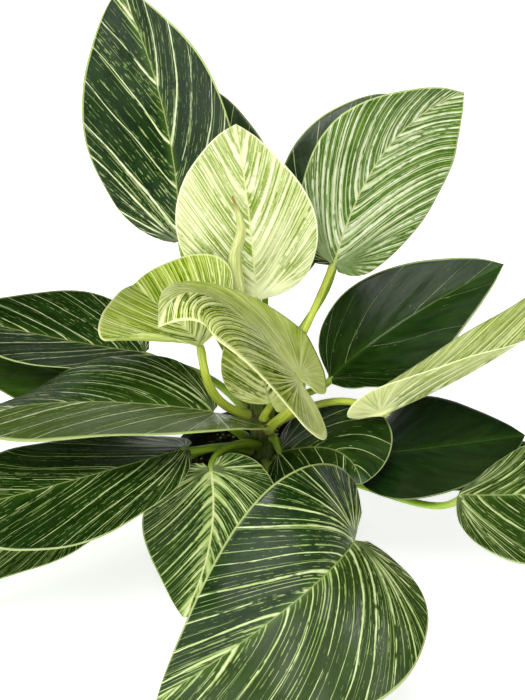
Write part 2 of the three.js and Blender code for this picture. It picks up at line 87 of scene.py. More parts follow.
# The leaves. midrib is its base, middle and tip, and face is the way that the upper side looks. width is
# across both halves, and heart runs from 0 for a round base to 1 for a heart. Pairs are for the left and
# the right half, seen from above with the tip ahead. fold, fold_tip and curl are in degrees: the lift at
# the midrib, the same at the tip, and the further lift up to the edge. foot is where the stalk leaves the
# stem: its turn round it, its height and its rise. bow is how long the stalk keeps those directions at
# its two ends, join is how steeply it meets the blade, and stout is how thick it is against the others.
# COMMON_LEAF has what a row leaves out.
COMMON_LEAF = dict(kind="green", fold=8, curl=0, bow=(0.38, 0.38), join=0.3, stout=1)
LEAVES = [
    dict(name="tall_left", midrib=((-56, 58, 234), (-67, 99, 312), (-96, 127, 390)),
         face=(-0.23, -0.83, 0.5), width=(123, 126), heart=(0.03, 0.23), fold=(-12, 25), fold_tip=(6, 41),
         curl=(-4, 6), foot=(140, 142, 60)),
    dict(name="centre_pale", midrib=((-4, 23, 208), (-9, 33, 267), (-17, 30, 331)),
         face=(-0.15, -0.93, 0.33), width=(101, 99), heart=(0.01, 0), fold=(2, 12), fold_tip=(-6, 17),
         curl=(3, 8), foot=(95, 146, 75), kind="pale"),
    dict(name="tall_right", midrib=((48, 34, 229), (82, 65, 298), (131, 59, 341)), face=(0.16, -0.95, 0.26),
         width=110, heart=(0, 0.19), fold=(15, -14), fold_tip=(48, -12), foot=(42, 142, 60), kind="pale"),
    dict(name="rear_right", midrib=((49, 60, 217), (60, 90, 268), (92, 115, 318)), face=(-0.1, -0.85, 0.5),
         width=92, heart=0.1, fold=(0, 8), foot=(65, 128, 75), bow=(0.5, 0.3)),
    dict(name="rear_centre", midrib=((-19, 55, 220), (-26, 90, 265), (-34, 120, 320)), face=(0, -0.8, 0.6),
         width=76, heart=0.2, foot=(110, 132, 60)),
    dict(name="young_left", midrib=((-41, -18, 195), (-53, 6, 197), (-89, 53, 203)),
         face=(-0.3, -0.49, 0.82), width=(137, 108), heart=(0.11, 0), fold=(40, 24), fold_tip=(56, 35),
         foot=(207, 134, 28), bow=(0.55, 0.3), stout=1.2, kind="pale"),
    dict(name="young_arched", midrib=((23, -54, 192), (-34, -63, 257), (-63, -82, 245)),
         face=(-0.37, -0.06, 0.93), width=(120, 107), heart=0.95, fold=(9, 2), fold_tip=(-37, -24),
         curl=(0, -2), foot=(292, 126, 52), stout=1.2, kind="pale"),
    dict(name="young_inner", midrib=((5, -16, 150), (-4, -9, 176), (-20, -6, 206)), face=(-0.1, -0.9, 0.3),
         width=(50, 58), heart=(0, 0.6), foot=(275, 136, 80), kind="pale"),
    dict(name="left_upper", midrib=((-85, 76, 136), (-149, 78, 147), (-228, 85, 164)),
         face=(0, -0.16, 0.99), width=(106, 99), heart=(0, 0.13), fold=(24, 14), fold_tip=(8, 0),
         foot=(160, 132, 45)),
    dict(name="left_rear", midrib=((-108, 45, 119), (-164, 70, 129), (-233, 80, 136)), face=(0, -0.2, 0.98),
         width=90, heart=0.4, foot=(150, 106, 35)),
    dict(name="left_middle", midrib=((-33, -11, 140), (-130, -34, 162), (-220, -41, 149)),
         face=(0.01, -0.08, 1), width=(127, 123), heart=(0.71, 0.1), fold=(23, 28), fold_tip=(0, -44),
         curl=(0, -20), foot=(184, 113, 45)),
    dict(name="left_lower", midrib=((-50, -39, 130), (-140, -80, 126), (-201, -98, 120)),
         face=(-0.16, -0.16, 0.97), width=(108, 109), heart=(0.02, 0.22), fold=(0, -17), fold_tip=(-12, 6),
         foot=(222, 107, 40)),
    dict(name="left_lowest", midrib=((-124, -50, 80), (-172, -60, 67), (-232, -70, 30)),
         face=(0, -0.3, 0.95), width=(64, 90), heart=0.5, fold=(4, 4), foot=(200, 99, 44), bow=(0.5, 0.4)),
    dict(name="front_left", midrib=((-34, -50, 120), (-35, -74, 76), (-53, -92, 30)),
         face=(-0.01, -0.89, 0.45), width=94, heart=(0.41, 0.29), fold=(10, 9), fold_tip=(8, 7),
         foot=(250, 113, 45)),
    dict(name="front_right", midrib=((11, -18, 112), (48, -44, 131), (64, -72, 123)),
         face=(-0.05, -0.22, 0.97), width=(95, 88), heart=(0.36, 0.34), fold=(2, -8), fold_tip=(6, -8),
         curl=(0, -20), foot=(308, 118, 45)),
    dict(name="right_glossy", midrib=((47, 20, 148), (92, 55, 169), (167, 65, 213)),
         face=(-0.21, -0.62, 0.76), width=(82, 101), heart=(0, 0.24), fold=(42, 16), fold_tip=(28, 13),
         foot=(20, 133, 50)),
    dict(name="front_large", midrib=((57, -133, 124), (15, -176, 106), (-65, -186, 42)),
         face=(0.13, -0.79, 0.6), width=(157, 128), heart=(0.22, 0.76), fold=(13, 35), fold_tip=(0, 1),
         curl=(0, -35), foot=(284, 98, 10), bow=(0.5, 0.35), join=1),
    dict(name="right_pale", midrib=((78, -32, 152), (167, -25, 204), (202, -32, 260)),
         face=(-0.63, 0.19, 0.76), width=(95, 72), heart=(0.38, 0.54), fold=(10, 52), fold_tip=(15, -15),
         foot=(12, 124, 27), bow=(0.75, 0.12), kind="pale"),
    dict(name="right_dark", midrib=((66, -24, 114), (110, -32, 125), (175, -29, 133)),
         face=(0.04, -0.17, 0.98), width=(115, 101), heart=(0.21, 0), fold=(-7, 4), fold_tip=(-1, 2),
         foot=(349, 106, 25)),
    dict(name="right_lower", midrib=((125, -86, 125), (172, -98, 134), (205, -89, 133)),
         face=(0.16, -0.27, 0.95), width=(80, 107), heart=0, fold=(-14, 3), fold_tip=(22, -12),
         foot=(328, 98, 8), bow=(0.5, 0.25), join=1.2),
    dict(name="right_rear", midrib=((112, -10, 94), (165, -8, 94), (230, -10, 90)), face=(0, -0.1, 0.98),
         width=(74, 50), heart=0.3, fold=(0, -5), foot=(18, 100, 38), bow=(0.45, 0.4)),
    dict(name="back_left", midrib=((-42, 95, 240), (-58, 142, 272), (-85, 180, 290)), face=(0, -0.6, 0.8),
         width=84, heart=0.4, foot=(125, 118, 60)),
    dict(name="back_low", midrib=((2, 85, 200), (0, 140, 222), (-8, 195, 205)), face=(0, -0.2, 0.98),
         width=92, heart=0.5, foot=(88, 112, 55)),
]

# How each leaf looks, with COMMON_LOOK for what a row leaves out. A dark leaf's green is its tone, from
# yellow-green at 0 to blackish green at 1. A pale leaf has ground, green and white instead, cream for how
# much of its ground is cream, and bare for how far cream reaches from the stalk. lines are the strong
# pale lines of a half and their half width, fill is the share of thinner lines, and glow is how much
# wider lines are at the midrib. On dark leaves dash is the amount of short dashes, and milk is how white
# the lines are. rib is the midrib from green at 0 to cream at 1, relief the depth of the side veins,
# shine the strength of reflections, feather how ragged the strong lines are, edge the pale margin's share
# of each half, lit how far each half is painted lighter, as painted light and sheen where light falls on
# it, dense how green each half of a pale leaf is, and chop how short its green dashes are.
COMMON_LOOK = dict(
    fill=0.8, dash=0.4, milk=0.2, glow=0.3, rib=0.4, relief=0.7, shine=0.28, feather=0.45, edge=(0.02, 0.02),
    lit=(0, 0), dense=(1, 1), chop=1,
)
LOOKS = {
    "tall_left": dict(
        tone=0.92, lines=(11, 0.72), fill=0.62, dash=0.8, milk=0.5, glow=0.5, relief=0.8, shine=0.2,
    ),
    "centre_pale": dict(
        ground=(0.62, 0.68, 0.30), green=(0.18, 0.27, 0.02), white=(0.82, 0.84, 0.52), bare=0.12, cream=0.6,
        lines=(14, 1), fill=0.7, glow=0.8, rib=1, relief=0.6, shine=0.04, chop=2.4,
    ),
    "tall_right": dict(tone=-0.2, lines=(24, 0.9), fill=1, dash=0.9, milk=0.9, rib=0.8, feather=0.85),
    "rear_right": dict(tone=0.8, lines=(10, 0.3), fill=0.3, dash=0.2, glow=0.2, rib=0.2, relief=0.5),
    "young_left": dict(
        ground=(0.35, 0.46, 0.016), green=(0.065, 0.13, 0.002), white=(0.68, 0.74, 0.27), bare=0.06,
        cream=0.35, lines=(15, 1.05), glow=0.2, rib=0.8, relief=0.9, shine=0.04,
    ),
    "young_arched": dict(
        ground=(0.37, 0.49, 0.02), green=(0.028, 0.07, 0.002), white=(0.80, 0.84, 0.34), bare=0.16,
        cream=0.3, lines=(19, 0.8), fill=0.9, glow=0.2, rib=0.8, relief=1, shine=0.04, edge=(0.08, 0.02),
        dense=(1.0, 0.35),
    ),
    "young_inner": dict(
        ground=(0.38, 0.50, 0.016), green=(0.05, 0.11, 0.002), white=(0.80, 0.84, 0.30), bare=0.06,
        cream=0.3, lines=(15, 0.95), glow=0.2, rib=0.7, shine=0.04,
    ),
    "left_upper": dict(tone=0.85, lines=(12, 0.35), fill=0.5, milk=0.5),
    "left_rear": dict(tone=0.5, lines=(0, 0), fill=0, dash=0.1, glow=0.2, rib=0.2, relief=0.5),
    "left_middle": dict(
        tone=0.7, lines=(13, 0.5), fill=0.6, milk=0.4, rib=0.5, relief=0.8, shine=0.16, edge=(0.05, 0.02),
        lit=(0.4, 0),
    ),
    "left_lower": dict(tone=0.85, lines=(12, 0.32), fill=0.6, relief=0.8),
    "left_lowest": dict(tone=0.6, lines=(14, 0.45), fill=0.9, dash=0.7, milk=0, rib=0.5, relief=0.5),
    "front_left": dict(
        tone=0.72, lines=(15, 0.5), fill=0.85, dash=0.7, milk=0, glow=2.0, rib=1, relief=0.9, shine=0.10,
    ),
    "front_right": dict(tone=0.85, lines=(9, 0.26), fill=0.2, dash=0.2, glow=0.2, rib=0.3, relief=0.6),
    "right_glossy": dict(tone=0.85, lines=(7, 0.07), fill=0, dash=0, glow=0.2, rib=0, relief=0.6),
    "front_large": dict(
        tone=0.88, lines=(15, 0.56), dash=0.6, milk=0.1, glow=0.5, rib=0.3, relief=0.9, lit=(0.12, 0),
    ),
    "right_pale": dict(
        ground=(0.60, 0.70, 0.15), green=(0.11, 0.20, 0.006), white=(0.86, 0.89, 0.50), bare=0.06, cream=0.4,
        lines=(14, 0.9), glow=0.2, rib=0.8, relief=0.6, shine=0.04,
    ),
    "right_dark": dict(tone=0.95, lines=(0, 0), fill=0, dash=0, glow=0.1, rib=0, relief=0.35),
    "right_lower": dict(tone=0.7, lines=(13, 0.5), dash=0.6, glow=0.4),
    "right_rear": dict(tone=0.75, lines=(12, 0.4), fill=0.5, relief=0.6),
    "back_left": dict(tone=0.8, lines=(12, 0.4), fill=0.5),
}
LOOKS["rear_centre"] = LOOKS["rear_right"]
LOOKS["back_low"] = LOOKS["back_left"]


# Curves and noise
def unit(v):
    return v / np.maximum(np.linalg.norm(v, axis=-1, keepdims=True), 1e-12)


def spline(points, share):
    """An even curve through the points, at each share from 0 to 1."""
    points = np.asarray(points, float)
    last = len(points) - 1
    where = np.clip(np.asarray(share, float), 0, 1) * last
    k = np.clip(np.floor(where).astype(int), 0, last - 1)
    t = (where - k)[..., None]
    p0, p1 = points[np.clip(k - 1, 0, last)], points[k]
    p2, p3 = points[k + 1], points[np.clip(k + 2, 0, last)]
    v0, v1 = (p2 - p0) / 2, (p3 - p1) / 2
    return (2 * p1 - 2 * p2 + v0 + v1) * t**3 + (-3 * p1 + 3 * p2 - 2 * v0 - v1) * t**2 + v0 * t + p1


def hashed(*parts):
    """A repeatable number from 0 to 1 for each entry of the whole-number arrays."""
    value = np.zeros(np.broadcast(*parts).shape)
    for k, part in enumerate(parts):
        value = value + np.asarray(part) * (12.9898, 78.233, 37.719, 9.151)[k]
    return np.modf(np.abs(np.sin(value) * 43758.5453))[0]


def smooth_noise(x, y, seed=0):
    """Smooth noise from -1 to 1 over two coordinates."""
    xi, yi = np.floor(x), np.floor(y)
    fx, fy = x - xi, y - yi
    fx, fy = fx * fx * (3 - 2 * fx), fy * fy * (3 - 2 * fy)
    a, b = hashed(xi, yi, seed), hashed(xi + 1, yi, seed)
    c, d = hashed(xi, yi + 1, seed), hashed(xi + 1, yi + 1, seed)
    return 2 * ((a * (1 - fx) + b * fx) * (1 - fy) + (c * (1 - fx) + d * fx) * fy) - 1


# Meshes
def mesh_object(name, points, faces, smooth=True):
    mesh = bpy.data.meshes.new(name)
    mesh.from_pydata((np.asarray(points) * MM).tolist(), [], faces)
    mesh.update()
    if smooth:
        mesh.polygons.foreach_set("use_smooth", [True] * len(mesh.polygons))
    thing = bpy.data.objects.new(name, mesh)
    bpy.context.scene.collection.objects.link(thing)
    return thing


def add_map(thing, name, values):
    """A UV map with a pair of values for each vertex."""
    mesh = thing.data
    layer = mesh.uv_layers.new(name=name)
    index = np.zeros(len(mesh.loops), int)
    mesh.loops.foreach_get("vertex_index", index)
    layer.data.foreach_set("uv", np.asarray(values, float)[index].ravel())


def add_value(thing, name, values):
    layer = thing.data.attributes.new(name, "FLOAT", "POINT")
    layer.data.foreach_set("value", np.asarray(values, np.float32))


def grid_faces(rows, columns, start=0, closed=False, flip=False):
    """Quads over rows of points, joined round where closed."""
    faces = []
    for row in range(rows - 1):
        for column in range(columns if closed else columns - 1):
            after = (column + 1) % columns
            a, b = start + row * columns + column, start + row * columns + after
            face = (a, b, b + columns, a + columns)
            faces.append(face[::-1] if flip else face)
    return faces


def capped_faces(rows, sides, start=0, flip=False):
    """The faces of a closed tube with both its ends."""
    ends = [
        tuple(range(start + sides - 1, start - 1, -1)),
        tuple(range(start + (rows - 1) * sides, start + rows * sides)),
    ]
    faces = grid_faces(rows, sides, start, closed=True) + ends
    return [face[::-1] for face in faces] if flip else faces


def sheet_faces(rows, columns):
    """The faces of a closed sheet: a grid, a second grid below it, and the border between the two."""
    count = rows * columns
    faces = grid_faces(rows, columns) + grid_faces(rows, columns, start=count, flip=True)
    for row in range(rows - 1):
        a, b = row * columns, (row + 1) * columns
        faces.append((a, b, b + count, a + count))
        c, d = a + columns - 1, b + columns - 1
        faces.append((d, c, c + count, d + count))
    for column in range(columns - 1):
        faces.append((column + 1, column, column + count, column + 1 + count))
        a = (rows - 1) * columns + column
        faces.append((a, a + 1, a + 1 + count, a + count))
    return faces


def around_axis(radius, angle, height):
    """Points round the upright axis."""
    return np.stack(np.broadcast_arrays(radius * np.cos(angle), radius * np.sin(angle), height), -1)


def place_piece(thing, node, slot, *materials):
    for material in materials:
        thing.data.materials.append(material)
    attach(thing, "root")
    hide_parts(node)


# Blades
def for_side(value, side):
    return value[0 if side < 0 else 1] if isinstance(value, tuple) else value


class Midrib:
    """The midrib's curve, with the blade's own directions at each share of its length."""

    def __init__(self, leaf):
        self.base, middle, self.tip = np.array(leaf["midrib"], float)
        self.control = 2 * middle - (self.base + self.tip) / 2
        line = self.point(np.linspace(0, 1, 201))
        self.length = np.linalg.norm(np.diff(line, axis=0), axis=1).sum()
        self.face = unit(np.array(leaf["face"], float))

    def point(self, t):
        t = np.asarray(t, float)[..., None]
        return (1 - t) ** 2 * self.base + 2 * t * (1 - t) * self.control + t**2 * self.tip

    def frame(self, share):
        share = np.asarray(share, float)
        held = np.clip(share, 0, 1)
        t = held[..., None]
        ahead = unit((1 - t) * (self.control - self.base) + t * (self.tip - self.control))
        place = self.point(held) + ahead * ((share - held) * self.length)[..., None]
        up = unit(self.face - ahead * (ahead @ self.face)[..., None])
        return place, ahead, up, np.cross(ahead, up)


def edge_of(leaf, side, vein):
    heart = for_side(leaf["heart"], side)
    return spline(ROUND_EDGE * (1 - heart) + HEART_EDGE * heart, vein)


def side_veins(leaf, along, reach, side):
    """Which side vein passes each place: up to VEIN_START they leave the base, and then the midrib."""
    table = np.linspace(0, 1, 500)
    edge = edge_of(leaf, side, table)
    ahead, far = edge[:, 0], np.maximum(edge[:, 1], 1e-4)
    widest = int(np.argmax(far))
    low = np.interp(reach, np.maximum.accumulate(far[:widest + 1]), table[:widest + 1])
    high = np.interp(reach, np.minimum.accumulate(far[widest:])[::-1], table[widest:][::-1])
    for _ in range(24):
        middle = (low + high) / 2
        root = np.clip((middle - VEIN_START) / (1 - VEIN_START), 0, 1) ** VEIN_ROOT_POWER
        out = np.clip(reach / np.interp(middle, table, far), 0, 1) ** VEIN_SWEEP_POWER
        short = root + (np.interp(middle, table, ahead) - root) * out < along
        low, high = np.where(short, middle, low), np.where(short, high, middle)
    return (low + high) / 2


def blade_surface(leaf, midrib, vein, out, side, look, seed):
    """A half's middle surface, its upward direction, and what the materials read there."""
    edge = edge_of(leaf, side, vein)
    root = vein**ROW_ROOT_POWER
    along = root + (edge[..., 0] - root) * out**ROW_SWEEP_POWER
    reach = np.maximum(edge[..., 1], 0) * out
    half = for_side(leaf["width"], side) / 2
    place, _, up, right = midrib.frame(along)
    fold_base = for_side(leaf["fold"], side)
    fold_tip = for_side(leaf.get("fold_tip", leaf["fold"]), side)
    fold = np.radians(fold_base + (fold_tip - fold_base) * np.maximum(along, 0))
    curl = math.radians(for_side(leaf["curl"], side))
    angle = fold + curl * reach
    if abs(curl) < 0.01:
        across, lift = reach * np.cos(fold), reach * np.sin(fold)
    else:
        across = (np.sin(angle) - np.sin(fold)) / curl
        lift = (np.cos(fold) - np.cos(angle)) / curl
    point = place + right * (side * half * across)[..., None] + up * (half * lift)[..., None]
    normal = up * np.cos(angle)[..., None] - right * (side * np.sin(angle))[..., None]
    far = half * reach
    travel = np.hypot(along * midrib.length, far)
    lateral = side_veins(leaf, along, reach, side)
    pitch = slope(point, lateral)
    depth = relief_of(look["relief"], out, side, vein, far, lateral, travel, pitch, seed)
    return point + normal * depth[..., None], normal, far, lateral, travel, pitch


def relief_of(strength, out, side, vein, far, lateral, travel, pitch, seed):
    """Furrows along the side veins, a channel over the midrib, and a gently uneven blade and edge."""
    count = RELIEF["furrows"]
    tip = 1 - vein
    swing = math.pi * (count * lateral + 0.25 * smooth_noise(lateral * 7, travel / 40, seed))
    furrow = 1 - 2 * np.abs(np.cos(swing + side * 0.4)) ** 0.8
    crowded = np.clip(0.16 / np.maximum(pitch * count, 1e-6) - 0.5, 0, 1)
    fade = np.clip(far / 6, 0, 1) * np.clip((1 - out) * 6, 0.2, 1) * crowded
    sway = smooth_noise(lateral * 4 + seed, travel / 45 + side * 7, seed) * np.clip(far / 15, 0, 1)
    wave = np.sin(travel / 9 + seed) * out**4 * np.clip(far / 20, 0, 1)
    channel = np.exp(-((far / RELIEF["channel_width"]) ** 2)) * np.clip(tip * 8, 0, 1)
    depth = strength * RELIEF["furrow"] * furrow * fade + RELIEF["sway"] * sway * np.clip(tip * 6, 0, 1)
    return depth + RELIEF["wave"] * wave - RELIEF["channel"] * channel


def slope(point, value):
    """How fast the value changes over the surface, for each millimetre."""
    a, b = np.gradient(point, axis=0), np.gradient(point, axis=1)
    da, db = np.gradient(value, axis=0), np.gradient(value, axis=1)
    aa, bb, ab = (a * a).sum(-1), (b * b).sum(-1), (a * b).sum(-1)
    room = np.maximum(aa * bb - ab * ab, 1e-9)
    square = (bb * da * da - 2 * ab * da * db + aa * db * db) / room
    return np.sqrt(np.clip(square, 1e-8, 0.04))


def blade_parts(leaf, look, seed, rows=92, columns=21):
    """Both sheets of a blade as points and faces, with what the materials read."""
    midrib = Midrib(leaf)
    veins = np.linspace(0, 1, rows)
    outs = np.linspace(0, 1, columns) ** 0.9
    halves = []
    for side in (-1, 1):
        v, o = np.meshgrid(veins, outs, indexing="ij")
        point, normal, far, lateral, travel, pitch = blade_surface(leaf, midrib, v, o, side, look, seed)
        rib = BLADE["rib"] + (BLADE["rib_tip"] - BLADE["rib"]) * v
        rib = rib * np.exp(-((far / (2.6 - 1.2 * v)) ** 2))
        thick = BLADE["edge"] * (1 - 0.35 * o**6) + np.maximum(rib - 0.6, 0)
        upper = point + normal * (BLADE["edge"] / 2)
        lower = upper - normal * thick[..., None]
        maps = np.stack([lateral, 0.5 + 0.5 * side * o, far / 100, travel / 200, pitch], -1)
        half = np.concatenate([upper, lower, maps], -1)
        halves.append(half[:, :0:-1] if side < 0 else half)
    sheet = np.concatenate(halves, axis=1).reshape(-1, 11)
    top, under, maps = sheet[:, :3], sheet[:, 3:6], np.tile(sheet[:, 6:], (2, 1))
    faces = sheet_faces(rows, 2 * columns - 1)
    below = np.repeat([0, 1], len(top))
    return midrib, np.concatenate([top, under]), faces, maps, below


# Stalks and other tubes
def bezier(points, t):
    t = np.asarray(t, float)[..., None]
    a, b, c, d = (np.asarray(p, float) for p in points)
    return (1 - t) ** 3 * a + 3 * t * (1 - t) ** 2 * b + 3 * t**2 * (1 - t) * c + t**3 * d


def even_line(line, count):
    """The line's points again, evenly far apart."""
    gone = np.concatenate([[0], np.cumsum(np.linalg.norm(np.diff(line, axis=0), axis=1))])
    where = np.linspace(0, gone[-1], count)
    return np.stack([np.interp(where, gone, line[:, k]) for k in range(3)], -1)


def carried_frames(line, start_up):
    """For each point the direction along the line and two square to it, without needless turning."""
    ahead = unit(np.gradient(line, axis=0))
    up = np.array(start_up, float)
    ups = []
    for direction in ahead:
        up = unit(up - direction * (up @ direction))
        ups.append(up)
    ups = np.array(ups)
    return ahead, ups, np.cross(ahead, ups)


def tube(line, start_up, radius, sides):
    """A closed tube. radius(share, angle) is the distance from the line, and angle 0 is its upper side."""
    steps = len(line)
    _, up, right = carried_frames(line, start_up)
    share = np.linspace(0, 1, steps)[:, None]
    angle = (np.arange(sides) * 2 * math.pi / sides)[None, :]
    reach = np.broadcast_to(radius(share, angle), (steps, sides))[..., None]
    points = line[:, None] + up[:, None] * np.cos(angle)[..., None] * reach
    points = points + right[:, None] * np.sin(angle)[..., None] * reach
    faces = capped_faces(steps, sides, flip=True)
    around = np.broadcast_to(angle / (2 * math.pi), (steps, sides))
    maps = np.stack([np.broadcast_to(share, (steps, sides)), around], -1).reshape(-1, 2)
    return points.reshape(-1, 3), faces, maps


def stalk_parts(leaf, midrib):
    turn, height, rise = leaf["foot"]
    around, lean = math.radians(turn), math.radians(rise)
    outward = np.array([math.cos(around), math.sin(around), 0])
    start = outward * (STEM["radius"] + GAP + 0.95 * STALK["foot"] * math.sin(lean))
    start[2] = height
    leaving = outward * math.cos(lean) + np.array([0, 0, math.sin(lean)])
    place, ahead, up, _ = midrib.frame(0.02)
    arriving = unit(ahead + up * leaf["join"])
    end = place - up * 1.2
    reach = np.linalg.norm(end - start)
    leave, arrive = leaf["bow"]
    ends = (start, start + leaving * leave * reach, end - arriving * arrive * reach, end)
    line = even_line(bezier(ends, np.linspace(0, 1, 240)), 44)

    def radius(share, angle):
        size = (STALK["neck"] + (STALK["top"] - STALK["neck"]) * share) * leaf["stout"]
        size = size + (STALK["foot"] - STALK["neck"]) * np.exp(-share * 14)
        size = size + 0.35 * np.exp(-(((share - 0.94) / 0.03) ** 2))
        ribs = 0.06 * np.cos(11 * angle) * (1 - share * 0.5)
        from_top = np.minimum(angle, 2 * math.pi - angle)
        channel = -0.22 * np.exp(-((from_top / 0.45) ** 2)) * (1 - 0.4 * share)
        return size * (0.97 + channel * 0.8) + ribs

    return tube(line, up if rise < 80 else -outward, radius, 22)


def make_leaf(leaf, seed):
    look = {**COMMON_LOOK, **LOOKS[leaf["name"]]}
    leaf = {**COMMON_LEAF, **leaf}
    name, kind = "leaf_" + leaf["name"], leaf["kind"]
    midrib, points, faces, maps, below = blade_parts(leaf, look, seed)
    stalk_points, stalk_faces, stalk_map = stalk_parts(leaf, midrib)
    shift = len(points)
    stalk_faces = [tuple(k + shift for k in face) for face in stalk_faces]
    thing = mesh_object(name + "_live", np.concatenate([points, stalk_points]), faces + stalk_faces)
    add_map(thing, "Vein", np.concatenate([maps[:, :2], stalk_map]))
    add_map(thing, "Place", np.concatenate([maps[:, 2:4], stalk_map]))
    rest = np.zeros(len(stalk_points))
    add_value(thing, "pitch", np.concatenate([maps[:, 4], rest]))
    add_value(thing, "below", np.concatenate([below, rest]))
    place_piece(thing, name, "leaf_" + kind, blade_material(name, look, seed), stalk_material(kind))
    slots = [0] * len(faces) + [1] * len(stalk_faces)
    thing.data.polygons.foreach_set("material_index", slots)


# Materials
class Nodes:
    """A short way to write a material's nodes."""

    def __init__(self, name):
        self.material = bpy.data.materials.new(name)
        self.material.use_nodes = True
        self.tree = self.material.node_tree
        self.shader = self.tree.nodes["Principled BSDF"]

    def add(self, kind, **settings):
        node = self.tree.nodes.new(kind)
        for key, value in settings.items():
            setattr(node, key, value)
        return node

    def join(self, value, socket):
        if hasattr(value, "is_output"):
            self.tree.links.new(value, socket)
        else:
            socket.default_value = value

    def math(self, operation, a, b=0.0, c=0.0, clamp=False):
        node = self.add("ShaderNodeMath", operation=operation, use_clamp=clamp)
        for value, socket in zip((a, b, c), node.inputs):
            self.join(value, socket)
        return node.outputs[0]

    def times(self, a, b, clamp=False):
        return self.math("MULTIPLY", a, b, clamp=clamp)

    def times_plus(self, a, b, c):
        return self.math("MULTIPLY_ADD", a, b, c)

    def ramp(self, value, low, high, to_low=0.0, to_high=1.0):
        """A smooth step from to_low, up to low, to to_high, from high on."""
        node = self.add("ShaderNodeMapRange", interpolation_type="SMOOTHSTEP")
        self.join(value, node.inputs[0])
        for socket, number in zip(node.inputs[1:5], (low, high, to_low, to_high)):
            self.join(number, socket)
        return node.outputs[0]

    def mix(self, share, a, b):
        node = self.add("ShaderNodeMix", data_type="RGBA")
        self.join(share, node.inputs[0])
        self.join(a, node.inputs[6])
        self.join(b, node.inputs[7])
        return node.outputs[2]

    def vector(self, x, y, z=0.0):
        node = self.add("ShaderNodeCombineXYZ")
        for value, socket in zip((x, y, z), node.inputs):
            self.join(value, socket)
        return node.outputs[0]

    def noise(self, vector, scale, detail=2.0, rough=0.5):
        node = self.add("ShaderNodeTexNoise")
        self.join(vector, node.inputs["Vector"])
        node.inputs["Scale"].default_value = scale
        node.inputs["Detail"].default_value = detail
        node.inputs["Roughness"].default_value = rough
        return node.outputs[0]

    def fibres(self, around, along, detail=3.0, rough=0.6):
        """Noise drawn out along a piece, so many fibres round it and along it."""
        u, v = self.uv("Vein")
        return self.noise(self.vector(self.times(v, around), self.times(u, along)), 1.0, detail, rough)

    def split(self, vector):
        node = self.add("ShaderNodeSeparateXYZ")
        self.join(vector, node.inputs[0])
        return node.outputs

    def uv(self, name):
        u, v, _ = self.split(self.add("ShaderNodeUVMap", uv_map=name).outputs[0])
        return u, v

    def attribute(self, name):
        return self.add("ShaderNodeAttribute", attribute_name=name).outputs["Fac"]

    def place(self):
        return self.add("ShaderNodeTexCoord").outputs["Object"]

    def bump(self, height, distance, strength=1.0):
        node = self.add("ShaderNodeBump")
        node.inputs["Strength"].default_value = strength
        node.inputs["Distance"].default_value = distance
        self.join(height, node.inputs["Height"])
        self.join(node.outputs[0], self.shader.inputs["Normal"])

    def finish(self, color, rough, **uniform):
        self.join(color, self.shader.inputs["Base Color"])
        self.join(rough, self.shader.inputs["Roughness"])
        for name, value in uniform.items():
            self.shader.inputs[name.replace("_", " ")].default_value = value
        return self.material


# Colours are linear red, green and blue. Pairs run from one end of a look's value to the other.
WHITE = (1, 1, 1)
DEEP_GREEN = ((0.032, 0.085, 0.003), (0.0015, 0.011, 0.0012))
FRESH_GREEN = ((0.075, 0.16, 0.008), (0.004, 0.022, 0.003))
UNDERSIDE = ((0.30, 0.42, 0.10), (0.10, 0.20, 0.04))
RIB_SHADE = ((0.02, 0.07, 0.004), (0.56, 0.62, 0.20))
RIB_LIGHT = ((0.06, 0.13, 0.01), (0.80, 0.82, 0.44))
LINE_SHADE = ((0.38, 0.51, 0.13), (0.66, 0.72, 0.42))
LINE_LIGHT = ((0.64, 0.73, 0.34), (0.84, 0.87, 0.68))
DIM_LINE = ((0.22, 0.35, 0.07, 1), (0.50, 0.60, 0.24, 1))
DASH = ((0.10, 0.21, 0.02, 1), (0.36, 0.50, 0.14, 1))
# Painted light: the lighter green of a blade half that more light and sheen fall on
LIT_GREEN = (0.13, 0.19, 0.035, 1)
BESIDE_RIB = (0.08, 0.17, 0.008, 1)
MARGIN = (0.46, 0.56, 0.20, 1)

# A pale leaf's green lines, from few and wide to many and thin: how many, their half width, how much of
# each stays, their shift in the noise, how often they break, and how far their colour goes from ground to
# green
GREEN_LINES = [
    dict(count=21, width=0.85, part=0.8, shift=37.0, beat=16.0, depth=0.6),
    dict(count=46, width=0.60, part=1.15, shift=21.0, beat=22.0, depth=0.9),
    dict(count=80, width=0.42, part=1.0, shift=29.0, beat=60.0, depth=1.1),
]
# A line's place and half width within its own strip, as the least and the random rest, its random share
# of breaks, how it thins from the midrib to the edge, and where its own edge fades out
LINE = dict(
    place=(0.25, 0.5), width=(0.55, 0.9), loose=0.30, thinning=(1.15, 0.65), fade=(0.3, 1.2), wander=0.5,
)
# Lines fade where they crowd: between these densities, in lines a millimetre times their half width, to
# the share that is left
CROWDED_DARK = (0.18, 0.45)
CROWDED_PALE = (0.50, 1.20)
CROWDED_LEFT = 0.15


def blend_color(a, b, share):
    return tuple(x + (y - x) * share for x, y in zip(a, b)) + (1.0,)


